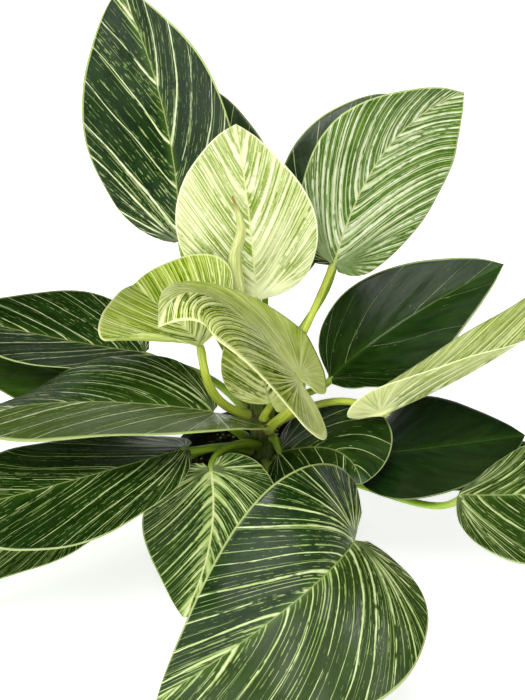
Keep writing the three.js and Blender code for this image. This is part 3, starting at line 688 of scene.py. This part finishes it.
class Blade:
    """What the layers of a blade's material share."""

    def __init__(self, name, seed, glow, crowded):
        self.n = n = Nodes(name)
        self.glow, self.crowded = glow, crowded
        self.vein, signed = n.uv("Vein")
        self.far, self.travel = n.uv("Place")
        self.side = n.math("GREATER_THAN", signed, 0.5)
        self.out = n.math("ABSOLUTE", n.times_plus(signed, 2.0, -1.0))
        self.pitch = n.attribute("pitch")
        self.below = n.attribute("below")
        self.key = n.times_plus(self.side, 31.7, seed * 2.3 + 50)
        self.place = n.place()
        self.cloud = n.noise(self.place, 22.0, 3.0, 0.55)
        self.fine = self.streaks(170, 26, 3.0, 0.65)
        self.broad = self.streaks(26, 8, 3.0, 0.6, 11)
        self.sector = self.streaks(7, 3, 2.0, 0.5, 17)

    def streaks(self, across, ahead, detail, rough, shift=0.0):
        """Noise drawn out along the side veins."""
        n = self.n
        x = n.times_plus(self.vein, float(across), n.math("ADD", self.key, shift))
        return n.noise(n.vector(x, n.times(self.travel, float(ahead)), shift), 1.0, detail, rough)

    def of_half(self, pair):
        """The value for the left or the right half."""
        left, right = pair
        return self.n.times_plus(self.side, right - left, left)

    def lines(self, count, width, part, shift=0.0, feather=0.45, beat=14.0):
        """Lines along the side veins, each with its own place, width and breaks. width is a line's half width
        in millimetres, part is how much of each stays, and beat is how often it breaks."""
        n = self.n
        drift = n.times_plus(self.streaks(5, 3, 1.0, 0.5, shift + 3), LINE["wander"] / count, self.vein)
        where = n.times_plus(drift, float(count), n.math("ADD", self.key, shift))
        strip = n.math("FLOOR", where)
        random = n.add("ShaderNodeTexWhiteNoise", noise_dimensions="1D")
        n.join(n.math("ADD", strip, 0.5), random.inputs["W"])
        first, second, third = n.split(random.outputs["Color"])
        least, rest = LINE["place"]
        middle = n.times_plus(first, rest, least)
        away = n.math("ABSOLUTE", n.math("SUBTRACT", n.math("SUBTRACT", where, strip), middle))
        density = n.times(self.pitch, float(count))
        away = n.math("DIVIDE", away, density)
        strand = self.streaks(count * 7, 24, 3.0, 0.65, shift + 5)
        least, rest = LINE["width"]
        wide = n.times(n.times_plus(second, rest, least), width)
        wide = n.times(wide, n.ramp(strand, 0.25, 0.75, 1.0 - feather, 1.0 + feather))
        wide = n.times(wide, n.ramp(self.far, 0.0, 0.12, 1.0 + self.glow, 1.0))
        wide = n.times(wide, n.ramp(self.out, 0.2, 1.0, *LINE["thinning"]))
        line = n.ramp(n.math("DIVIDE", away, wide), *LINE["fade"], 1.0, 0.0)
        run = n.noise(n.vector(n.times(strip, 3.71), n.times(self.travel, beat), shift), 1.0, 2.0, 0.6)
        kept = n.times_plus(third, LINE["loose"], run)
        kept = n.ramp(kept, 0.95 - 0.55 * part, 1.08 - 0.55 * part)
        low, high = self.crowded
        room = n.ramp(density, low / width, high / width, 1.0, CROWDED_LEFT)
        return n.times(n.times(line, kept), room)


def pale_ground(blade, look):
    """A pale leaf's ground with its green lines, and the two colours of its pale lines."""
    n, cream = blade.n, look["cream"]
    ground, green, white = look["ground"], look["green"], look["white"]

    def toward(color, share):
        return blend_color(ground, color, share)

    color = n.mix(n.ramp(blade.broad, 0.35, 0.68), toward(green, 0.25), toward(white, 0.35))
    color = n.mix(n.ramp(blade.sector, 0.42, 0.62, 0.0, cream), color, toward(white, 0.8))
    shown = n.times(n.ramp(blade.sector, 0.42, 0.66, 1.0, 1.0 - cream), blade.of_half(look["dense"]))
    shown = n.times(shown, n.ramp(blade.broad, 0.35, 0.7, 1.0, 0.6))
    for layer in GREEN_LINES:
        size = (layer["count"], layer["width"], layer["part"], layer["shift"])
        line = blade.lines(*size, 0.8, layer["beat"] * look["chop"])
        line = n.times(n.times(line, 1.5, clamp=True), shown)
        color = n.mix(n.times(line, 0.95), color, toward(green, layer["depth"]))
    color = n.mix(n.ramp(blade.vein, 0.84, 0.99, 0.0, 0.7), color, toward(green, 0.7))
    bright = n.mix(n.ramp(blade.cloud, 0.3, 0.7), toward(white, 0.7), blend_color(white, WHITE, 0.15))
    return color, bright, bright


def dark_ground(blade, look):
    """A dark leaf's green with its short dashes, and the two colours of its pale lines."""
    n, tone, milk = blade.n, look["tone"], look["milk"]
    deep, fresh = blend_color(*DEEP_GREEN, tone), blend_color(*FRESH_GREEN, tone)
    color = n.mix(n.ramp(blade.broad, 0.35, 0.68), deep, fresh)
    color = n.mix(n.ramp(blade.cloud, 0.45, 0.75, 0.0, 0.4), color, fresh)
    # Painted light: the half given by lit is made lighter, as if more light falls on it
    color = n.mix(blade.of_half(look["lit"]), color, LIT_GREEN)
    color = n.mix(n.ramp(blade.far, 0.0, 0.06, min(0.4, 0.7 * look["glow"]), 0.0), color, BESIDE_RIB)
    patchy = n.ramp(blade.broad, 0.3, 0.7)
    if look["dash"]:
        gate = n.times_plus(n.math("SUBTRACT", blade.sector, 0.5), -0.35, 0.74 - 0.14 * look["dash"])
        dash = n.ramp(n.math("SUBTRACT", blade.fine, gate), 0.0, 0.06)
        color = n.mix(n.times(dash, 0.7), color, n.mix(patchy, *DASH))
    bright = n.mix(patchy, blend_color(*LINE_SHADE, milk), blend_color(*LINE_LIGHT, milk))
    dim = n.mix(max(0.0, milk - 0.5), n.mix(patchy, *DIM_LINE), bright)
    return color, bright, dim


def with_pale_lines(blade, look, color, bright, dim):
    """The ground with pale lines of three sizes, and where the strongest run."""
    n, fill = blade.n, look["fill"]
    count, width = look["lines"]
    if not count:
        return color, blade.broad
    thin = blade.lines(75, 0.21, 0.15 + 0.65 * fill, 7.0, 0.6, 30.0)
    middle = blade.lines(round(2.2 * count), 0.55 * width, 0.2 + 0.7 * fill, 13.0)
    strong = blade.lines(count, width, 0.95, 0.0, look["feather"])
    for line, share, line_color in ((thin, 0.6, dim), (middle, 0.85, dim), (strong, 0.95, bright)):
        color = n.mix(n.times(line, share), color, line_color)
    return color, strong


def with_bare_base(blade, look, color, bright):
    """Cream round the stalk's end and along the midrib's first part."""
    n = blade.n
    near = n.ramp(blade.travel, 0.01, look["bare"], 0.9, 0.0)
    burst = n.times(n.ramp(blade.travel, 0.10, 0.42, 0.85, 0.0), n.ramp(blade.vein, 0.18, 0.45, 1.0, 0.0))
    gathered = n.math("MAXIMUM", near, n.times(burst, n.ramp(blade.cloud, 0.35, 0.6, 0.75, 1.0)))
    cream = n.mix(blade.cloud, blend_color(look["ground"], look["white"], 0.5), bright)
    return n.mix(gathered, color, cream)


def with_margin_and_midrib(blade, look, color):
    n, rib = blade.n, look["rib"]
    inward = n.math("DIVIDE", n.math("SUBTRACT", 1.0, blade.out), blade.of_half(look["edge"]))
    margin = n.ramp(inward, 0.6, 1.2, 1.0, 0.0)
    margin_color = blend_color(look["white"], WHITE, 0.1) if "white" in look else MARGIN
    color = n.mix(n.times(margin, 0.8 if look["lines"][0] else 0.3), color, margin_color)
    rib_width = n.times_plus(blade.vein, -0.009, 0.0125 + 0.004 * rib)
    on_rib = n.ramp(n.math("DIVIDE", blade.far, rib_width), 0.35, 1.0, 1.0, 0.0)
    shade, light = blend_color(*RIB_SHADE, rib), blend_color(*RIB_LIGHT, rib)
    return n.mix(n.times(on_rib, 0.85), color, n.mix(n.ramp(blade.fine, 0.3, 0.7), shade, light))


def blade_material(name, look, seed):
    pale = "ground" in look
    blade = Blade("blade_" + name, seed, look["glow"], CROWDED_PALE if pale else CROWDED_DARK)
    n = blade.n
    color, bright, dim = pale_ground(blade, look) if pale else dark_ground(blade, look)
    color, strong = with_pale_lines(blade, look, color, bright, dim)
    if pale:
        color = with_bare_base(blade, look, color, bright)
        under, veil = blend_color(look["ground"], look["white"], 0.8), 0.12
    else:
        under, veil = blend_color(*UNDERSIDE, look["tone"]), 0.5
    color = with_margin_and_midrib(blade, look, color)
    color = n.mix(blade.below, color, n.mix(veil, color, under))
    grain = n.noise(blade.place, 900.0, 3.0, 0.6)
    rough = n.times_plus(blade.below, 0.2, n.ramp(blade.cloud, 0.2, 0.8, 0.20, 0.33))
    height = n.times_plus(blade.broad, 1.2, n.times_plus(blade.fine, 0.6, n.times(grain, 0.25)))
    n.bump(n.times_plus(strong, 0.3, height), 0.00035, 0.6)
    return n.finish(color, rough, Specular_IOR_Level=look["shine"])


# The other pieces' colours, with their own red, green, blue and 1
STALK_COLORS = {
    "green": ((0.20, 0.36, 0.010, 1), (0.42, 0.60, 0.045, 1)),
    "pale": ((0.42, 0.54, 0.02, 1), (0.70, 0.76, 0.14, 1)),
}
STALK_TOP = (0.42, 0.5, 0.12, 1)
STALK_FOOT = (0.30, 0.30, 0.10, 1)
STALK_CLOUD = (0.2, 0.25, 0.06, 1)
ROLLED_COLORS = ((0.50, 0.57, 0.13, 1), (0.80, 0.82, 0.42, 1))
DRY_TIP = (0.30, 0.18, 0.04, 1)
SHEATH_BLOTCH = (0.12, 0.06, 0.025, 1)
STEM_COLORS = ((0.05, 0.09, 0.010, 1), (0.17, 0.24, 0.03, 1))
STEM_BARK = (0.16, 0.10, 0.05, 1)
# The soil's own dark colours, made darker still as painted shade for the shaded gap under the leaves
SOIL_AND_SHADE_COLORS = ((0.006, 0.004, 0.003, 1), (0.038, 0.023, 0.014, 1))
SOIL_FLECK = (0.30, 0.24, 0.16, 1)
POT_COLORS = ((0.020, 0.020, 0.021, 1), (0.036, 0.035, 0.034, 1))
POT_DUST = (0.13, 0.10, 0.075, 1)


@cache
def stalk_material(kind):
    n = Nodes("stalk_" + kind)
    along, _ = n.uv("Vein")
    place = n.place()
    stripes = n.fibres(26.0, 3.0)
    cloud = n.noise(place, 60.0, 2.0)
    color = n.mix(n.ramp(stripes, 0.35, 0.68), *STALK_COLORS[kind])
    color = n.mix(n.ramp(along, 0.86, 0.97, 0.0, 0.6), color, STALK_TOP)
    color = n.mix(n.ramp(along, 0.0, 0.16, 0.55, 0.0), color, STALK_FOOT)
    color = n.mix(n.ramp(cloud, 0.45, 0.8, 0.0, 0.35), color, STALK_CLOUD)
    n.bump(n.math("ADD", stripes, n.times(n.noise(place, 1200.0), 0.2)), 0.0003, 0.6)
    return n.finish(color, n.ramp(cloud, 0.2, 0.8, 0.34, 0.5), Specular_IOR_Level=0.45)


def rolled_material():
    n = Nodes("rolled_leaf")
    along, _ = n.uv("Vein")
    stripes = n.fibres(16.0, 6.0)
    color = n.mix(n.ramp(stripes, 0.35, 0.7), *ROLLED_COLORS)
    color = n.mix(n.ramp(along, 0.90, 0.985), color, DRY_TIP)
    n.bump(n.math("ADD", stripes, n.times(n.noise(n.place(), 1100.0), 0.3)), 0.0003, 0.6)
    return n.finish(color, n.ramp(stripes, 0.2, 0.8, 0.36, 0.5), Specular_IOR_Level=0.45)


def sheath_material(name, base, edge):
    n = Nodes(name)
    fibre = n.fibres(38.0, 2.0, 4.0, 0.65)
    blotch = n.noise(n.place(), 220.0, 3.0, 0.6)
    color = n.mix(n.ramp(fibre, 0.35, 0.7), base, edge)
    color = n.mix(n.ramp(blotch, 0.5, 0.75, 0.0, 0.6), color, SHEATH_BLOTCH)
    n.bump(n.math("ADD", fibre, n.times(blotch, 0.5)), 0.0004, 0.8)
    return n.finish(color, n.ramp(blotch, 0.3, 0.7, 0.6, 0.8), Specular_IOR_Level=0.3)


def stem_material():
    n = Nodes("stem_skin")
    place = n.place()
    streaks = n.add("ShaderNodeMapping")
    n.join(place, streaks.inputs["Vector"])
    streaks.inputs["Scale"].default_value = (400, 400, 60)
    skin = n.noise(streaks.outputs[0], 1.0, 3.0, 0.6)
    color = n.mix(n.ramp(skin, 0.35, 0.7), *STEM_COLORS)
    color = n.mix(n.ramp(n.noise(place, 120.0, 3.0), 0.5, 0.75, 0.0, 0.7), color, STEM_BARK)
    n.bump(skin, 0.0005, 0.8)
    return n.finish(color, n.ramp(skin, 0.2, 0.8, 0.45, 0.65), Specular_IOR_Level=0.4)


def soil_material():
    n = Nodes("potting_mix")
    place = n.place()
    crumb = n.noise(place, 320.0, 5.0, 0.65)
    bits = n.add("ShaderNodeTexVoronoi")
    n.join(place, bits.inputs["Vector"])
    bits.inputs["Scale"].default_value = 420
    # Painted shade: the soil is coloured darker than the potting mix itself, for the shade among the stalks
    color = n.mix(n.ramp(crumb, 0.35, 0.7), *SOIL_AND_SHADE_COLORS)
    pale = n.ramp(bits.outputs["Distance"], 0.0, 0.12, 1.0, 0.0)
    color = n.mix(n.times(pale, n.ramp(crumb, 0.5, 0.6)), color, SOIL_FLECK)
    n.bump(n.times_plus(bits.outputs["Distance"], 0.7, crumb), 0.0012, 0.9)
    return n.finish(color, n.ramp(crumb, 0.3, 0.7, 0.8, 0.97), Specular_IOR_Level=0.25)


def chip_material(name, dark, light, rough):
    n = Nodes(name)
    place = n.place()
    grain = n.noise(place, 700.0, 4.0, 0.65)
    n.bump(grain, 0.0004, 0.8)
    color = n.mix(n.ramp(grain, 0.35, 0.7), dark, light)
    return n.finish(color, n.ramp(grain, 0.3, 0.7, rough, rough + 0.15))


def pot_material():
    n = Nodes("pot_plastic")
    place = n.place()
    grain = n.noise(place, 650.0, 3.0, 0.6)
    cloud = n.noise(place, 14.0, 3.0, 0.5)
    color = n.mix(n.ramp(cloud, 0.3, 0.7), *POT_COLORS)
    dust = n.times(n.ramp(n.split(place)[2], 0.03, 0.0), n.ramp(grain, 0.45, 0.7))
    color = n.mix(n.times(dust, 0.25), color, POT_DUST)
    n.bump(grain, 0.00025, 0.5)
    return n.finish(color, n.ramp(cloud, 0.25, 0.75, 0.42, 0.55), Specular_IOR_Level=0.5)


# The other pieces
def make_rolled():
    line = even_line(spline(ROLLED["path"], np.linspace(0, 1, 300)), 90)
    radii = np.array(ROLLED["radii"], float)[:, None]

    def radius(share, angle):
        part = np.mod(angle / (2 * math.pi) - ROLLED["turns"] * share, 1.0)
        size = spline(np.concatenate([radii, radii], 1), share[:, 0])[:, :1]
        lip = np.clip(part / 0.05, 0, 1)
        return size * (1 - ROLLED["step"] * (part * lip + 1 - lip)) * 0.99

    points, faces, maps = tube(line, (0, -1, 0), radius, 40)
    thing = mesh_object("leaf_new_rolled_live", points, faces)
    add_map(thing, "Vein", maps)
    place_piece(thing, "leaf_new_rolled", "leaf_pale", rolled_material())


def make_sheath(name, turn, height, length, spread, lean, colors, rows=26, columns=33):
    around, tilt = math.radians(turn), math.radians(lean)
    share, part = np.meshgrid(np.linspace(0, 1, rows), np.linspace(-1, 1, columns), indexing="ij")
    angle = around + math.radians(spread) * part * (1 - 0.75 * share**2)
    bend = tilt * (0.4 + 0.6 * share)
    out = STEM["radius"] + GAP + 0.2 + length * share * np.sin(bend)
    ragged = 1.6 * smooth_noise(part * 5, share * 0, 4) * share**6
    level = height + length * share * np.cos(bend) - 2 * share * part**2 + ragged
    ripple = 0.3 * smooth_noise(part * 4, share * 3, 9) * share
    sheets = []
    for extra in (0.75, 0.05):
        size = out + extra + np.maximum(ripple, -extra * 0.5)
        sheets.append(around_axis(size, angle, level).reshape(-1, 3))
    thing = mesh_object(name + "_live", np.concatenate(sheets), sheet_faces(rows, columns))
    maps = np.stack([share, (part + 1) / 2], -1).reshape(-1, 2)
    add_map(thing, "Vein", np.tile(maps, (2, 1)))
    place_piece(thing, name, "sheath", sheath_material(name, *colors))


def turned(name, profile, sides):
    """A solid turned about the upright axis from (radius, height) pairs that start and end on the axis."""
    angle = np.arange(sides) * 2 * math.pi / sides
    rings = [around_axis(radius, angle, height) for radius, height in profile[1:-1]]
    points = np.concatenate([[(0, 0, profile[0][1])], *rings, [(0, 0, profile[-1][1])]])
    top = len(points) - 1
    last = top - sides
    faces = [(0, 1 + (k + 1) % sides, 1 + k) for k in range(sides)]
    faces += grid_faces(len(rings), sides, start=1, closed=True)
    faces += [(last + k, last + (k + 1) % sides, top) for k in range(sides)]
    return mesh_object(name, points, faces)


def make_pot():
    top, foot, wall, floor, height = POT["top"], POT["foot"], POT["wall"], POT["floor"], POT["height"]
    neck = top - POT["proud"]
    waist = (foot + neck) / 2
    under = height - POT["rim"]
    profile = [
        (0, 0), (30, 0), (foot - 1.6, 0), (foot - 0.9, 0.15), (foot - 0.3, 0.6), (foot, 1.5),
        (waist, under / 2), (neck - 0.1, under - 0.8), (neck + 0.1, under - 0.1), (top - 0.9, under + 0.1),
        (top - 0.25, under + 0.45), (top, under + 1.2), (top + 0.25, height - 8), (top + 0.5, height - 1.2),
        (top + 0.35, height - 0.5), (top, height - 0.1), (top - 0.5, height), (neck - wall + 1, height),
        (neck - wall + 0.3, height - 0.4), (neck - wall, height - 1.5),
        (waist - wall, (floor + height - 1.5) / 2), (foot - wall, floor), (30, floor), (0, floor),
    ]
    thing = turned("pot_live", profile, 128)
    cutters = []
    for k in range(DRAIN["count"]):
        angle = 2 * math.pi * (k + 0.5) / DRAIN["count"]
        cutter = turned("drain", [(0, -2), (DRAIN["radius"], -2), (DRAIN["radius"], 8), (0, 8)], 32)
        cutter.location = around_axis(DRAIN["ring"], angle, 0) * MM
        cut = thing.modifiers.new("drain", "BOOLEAN")
        cut.operation = "DIFFERENCE"
        cut.solver = "EXACT"
        cut.object = cutter
        cutters.append(cutter)
    bpy.context.view_layer.update()
    graph = bpy.context.evaluated_depsgraph_get()
    mesh = bpy.data.meshes.new_from_object(thing.evaluated_get(graph))
    thing.modifiers.clear()
    thing.data = mesh
    for cutter in cutters:
        bpy.data.objects.remove(cutter)
    mesh.set_sharp_from_angle(angle=math.radians(40))
    mesh.materials.clear()
    place_piece(thing, "pot", "pot", pot_material())


def soil_level(share):
    """The height of the soil's surface, from the stem at 0 to the pot at 1."""
    return SOIL["top"] + SOIL["crown"] * np.interp(share, [0, 0.4, 0.7, 1], [1, 0.85, 0.45, 0])


def make_soil():
    low = POT["floor"] + GAP
    slant = (POT["top"] - POT["proud"] - POT["foot"]) / (POT["height"] - 1.5 - POT["floor"])

    def inside(z):
        return POT["foot"] - POT["wall"] + (z - POT["floor"]) * slant - GAP

    edge = inside(SOIL["top"])
    hole = STEM["radius"] + GAP
    rings = [(hole, STEM["bottom"] - GAP), (hole, SOIL["top"] + SOIL["crown"] - 0.7)]
    radii = np.linspace(hole + 0.4, edge, 62)
    sides = 190
    angle = np.arange(sides) * 2 * math.pi / sides
    points = [around_axis(r, angle, z) for r, z in rings]
    for r in radii:
        x, y = r * np.cos(angle), r * np.sin(angle)
        crumbs = 0.9 * smooth_noise(x / 4, y / 4, 1) + 0.6 * smooth_noise(x / 1.9, y / 1.9, 2)
        crumbs = crumbs + 0.35 * smooth_noise(x / 0.9, y / 0.9, 3)
        calm = min(1, (r - hole) / 3, (edge - r) / 2 + 0.1)
        points.append(around_axis(r, angle, soil_level(r / edge) - 0.6 + crumbs * calm))
    points += [around_axis(inside(z), angle, z) for z in (60, low)]
    faces = capped_faces(len(points), sides, flip=True)
    thing = mesh_object("soil_live", np.concatenate(points), faces)
    place_piece(thing, "soil", "soil", soil_material())


# Loose bits on the soil: how many, their least and greatest size, how flat and how long they are
BITS = [
    dict(name="bark_chips", count=130, size=(1.0, 2.2), flat=0.5, long=1.4, seed=17,
         colors=((0.035, 0.018, 0.010, 1), (0.15, 0.08, 0.04, 1)), rough=0.7),
    dict(name="perlite_grains", count=70, size=(0.6, 1.3), flat=0.85, long=1, seed=41,
         colors=((0.55, 0.54, 0.50, 1), (0.82, 0.81, 0.77, 1)), rough=0.75),
]
BIT_RINGS = [(-0.8, 0.55), (-0.2, 1.0), (0.45, 0.85), (0.8, 0.4)]
BIT_SIDES = 7
BITS_FROM, BITS_TO = 12, 52.0
SOIL_EDGE = 54.5


def bit_points(k, seed, size, flat, long):
    """One bit, half sunk in the soil's surface."""
    reach = BITS_FROM + (BITS_TO - BITS_FROM) * math.sqrt(hashed(k, seed))
    around = 2 * math.pi * hashed(k, seed, 2)
    centre = around_axis(reach, around, soil_level(reach / SOIL_EDGE) - 0.5)
    big = size[0] + (size[1] - size[0]) * hashed(k, seed, 3)
    turn = 2 * math.pi * hashed(k, seed, 5)
    points = []
    for ring, (height, width) in enumerate(BIT_RINGS):
        for m in range(BIT_SIDES):
            angle = 2 * math.pi * m / BIT_SIDES
            wide = big * width * (0.8 + 0.4 * hashed(k, m, ring, seed))
            x, y = wide * math.cos(angle) * long, wide * math.sin(angle)
            x, y = x * math.cos(turn) - y * math.sin(turn), x * math.sin(turn) + y * math.cos(turn)
            points.append(centre + (x, y, big * flat * height))
    return points


def make_bits(name, count, size, flat, long, seed, colors, rough):
    points, faces = [], []
    for k in range(count):
        faces += capped_faces(len(BIT_RINGS), BIT_SIDES, start=len(points))
        points += bit_points(k, seed, size, flat, long)
    thing = mesh_object(name, points, faces, smooth=False)
    thing.data.materials.append(chip_material(name, *colors, rough))
    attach(thing, "root")


def make_stem():
    radius, bottom, top = STEM["radius"], STEM["bottom"], STEM["top"]
    neck = radius - 0.35
    profile = [(0, bottom), (radius - 3, bottom + 0.2), (radius - 1.2, bottom + 1.5), (neck, bottom + 4)]
    level = bottom + STEM["ring"]
    while level < top - 4:
        profile += [(neck, level - 4), (radius - 0.3, level - 1.6), (radius - 0.05, level - 0.9),
                    (radius, level - 0.3), (radius - 0.05, level + 0.2), (neck, level + 0.7)]
        level += STEM["ring"]
    profile += [(neck, top - 6), (radius - 1.2, top - 3), (radius - 3, top - 1), (radius - 4.6, top - 0.1)]
    profile.append((0, top))
    thing = turned("stem_live", profile, 56)
    place_piece(thing, "stem", "stem", stem_material())


for k, leaf in enumerate(LEAVES):
    make_leaf(leaf, seed=3 + 5 * k)
make_rolled()
for sheath in SHEATHS:
    make_sheath(**sheath)
make_stem()
make_soil()
for bits in BITS:
    make_bits(**bits)
make_pot()


# Floor, light and camera
FLOOR_REACH = 9000
FLOOR_GLOW = 0.74
# The surroundings' light, from the floor's level up to this height of the view direction
SKY = {"From Min": 0.02, "From Max": 0.18, "To Min": 0.95, "To Max": 0.04}
# Each light's place, size in metres and power in watts
LIGHTS = [
    dict(name="key", at=(-0.5, -1.5, 2.7), size=(1.5, 1.5), power=68),
    dict(name="left", at=(-2.6, -1.6, 2.4), size=(1.3, 1.3), power=42),
    dict(name="front", at=(0.3, -2.8, 1.0), size=(3.0, 0.9), power=34),
    dict(name="backdrop", at=(0.0, 2.9, 1.05), size=(2.8, 1.0), power=3),
]
LIT_PLACE = (0, 0, 0.2)
# The camera's lens as a share of the picture's height, and where it stands and looks
CAMERA = dict(sensor=36, lens_share=1650 / 700, away=1.1, tilt=30, target=(0, 0, 0.182))


def make_floor():
    reach = FLOOR_REACH
    corners = [(-reach, -reach, 0), (reach, -reach, 0), (reach, reach, 0), (-reach, reach, 0)]
    floor = mesh_object("floor", corners, [(0, 1, 2, 3)])
    n = Nodes("pale_floor")
    n.shader.inputs["Emission Color"].default_value = (1, 1, 1, 1)
    color = (0.9, 0.9, 0.9, 1)
    floor.data.materials.append(n.finish(color, 0.7, Specular_IOR_Level=0.1, Emission_Strength=FLOOR_GLOW))


def make_surroundings():
    world = bpy.data.worlds.new("studio")
    world.use_nodes = True
    nodes, links = world.node_tree.nodes, world.node_tree.links
    back = nodes["Background"]
    back.inputs[0].default_value = (1, 1, 1, 1)
    way = nodes.new("ShaderNodeTexCoord")
    split = nodes.new("ShaderNodeSeparateXYZ")
    fade = nodes.new("ShaderNodeMapRange")
    for name, value in SKY.items():
        fade.inputs[name].default_value = value
    links.new(way.outputs["Generated"], split.inputs[0])
    links.new(split.outputs[2], fade.inputs["Value"])
    links.new(fade.outputs["Result"], back.inputs[1])
    bpy.context.scene.world = world
    bpy.context.scene.view_settings.view_transform = "Standard"


def add_to_scene(name, data, at, toward):
    thing = bpy.data.objects.new(name, data)
    thing.location = at
    thing.rotation_mode = "QUATERNION"
    thing.rotation_quaternion = (Vector(toward) - Vector(at)).to_track_quat("-Z", "Y")
    bpy.context.scene.collection.objects.link(thing)
    return thing


def soft_light(name, at, size, power):
    lamp = bpy.data.lights.new(name, "AREA")
    lamp.shape = "RECTANGLE"
    lamp.size, lamp.size_y = size
    lamp.energy = power
    add_to_scene(name, lamp, at, LIT_PLACE)


def make_camera():
    camera = bpy.data.cameras.new("camera")
    camera.sensor_width = CAMERA["sensor"]
    camera.lens = CAMERA["sensor"] * CAMERA["lens_share"]
    target, tilt = Vector(CAMERA["target"]), math.radians(CAMERA["tilt"])
    at = target + Vector((0, -math.cos(tilt), math.sin(tilt))) * CAMERA["away"]
    bpy.context.scene.camera = add_to_scene("camera", camera, at, target)


make_floor()
make_surroundings()
for light in LIGHTS:
    soft_light(**light)
make_camera()
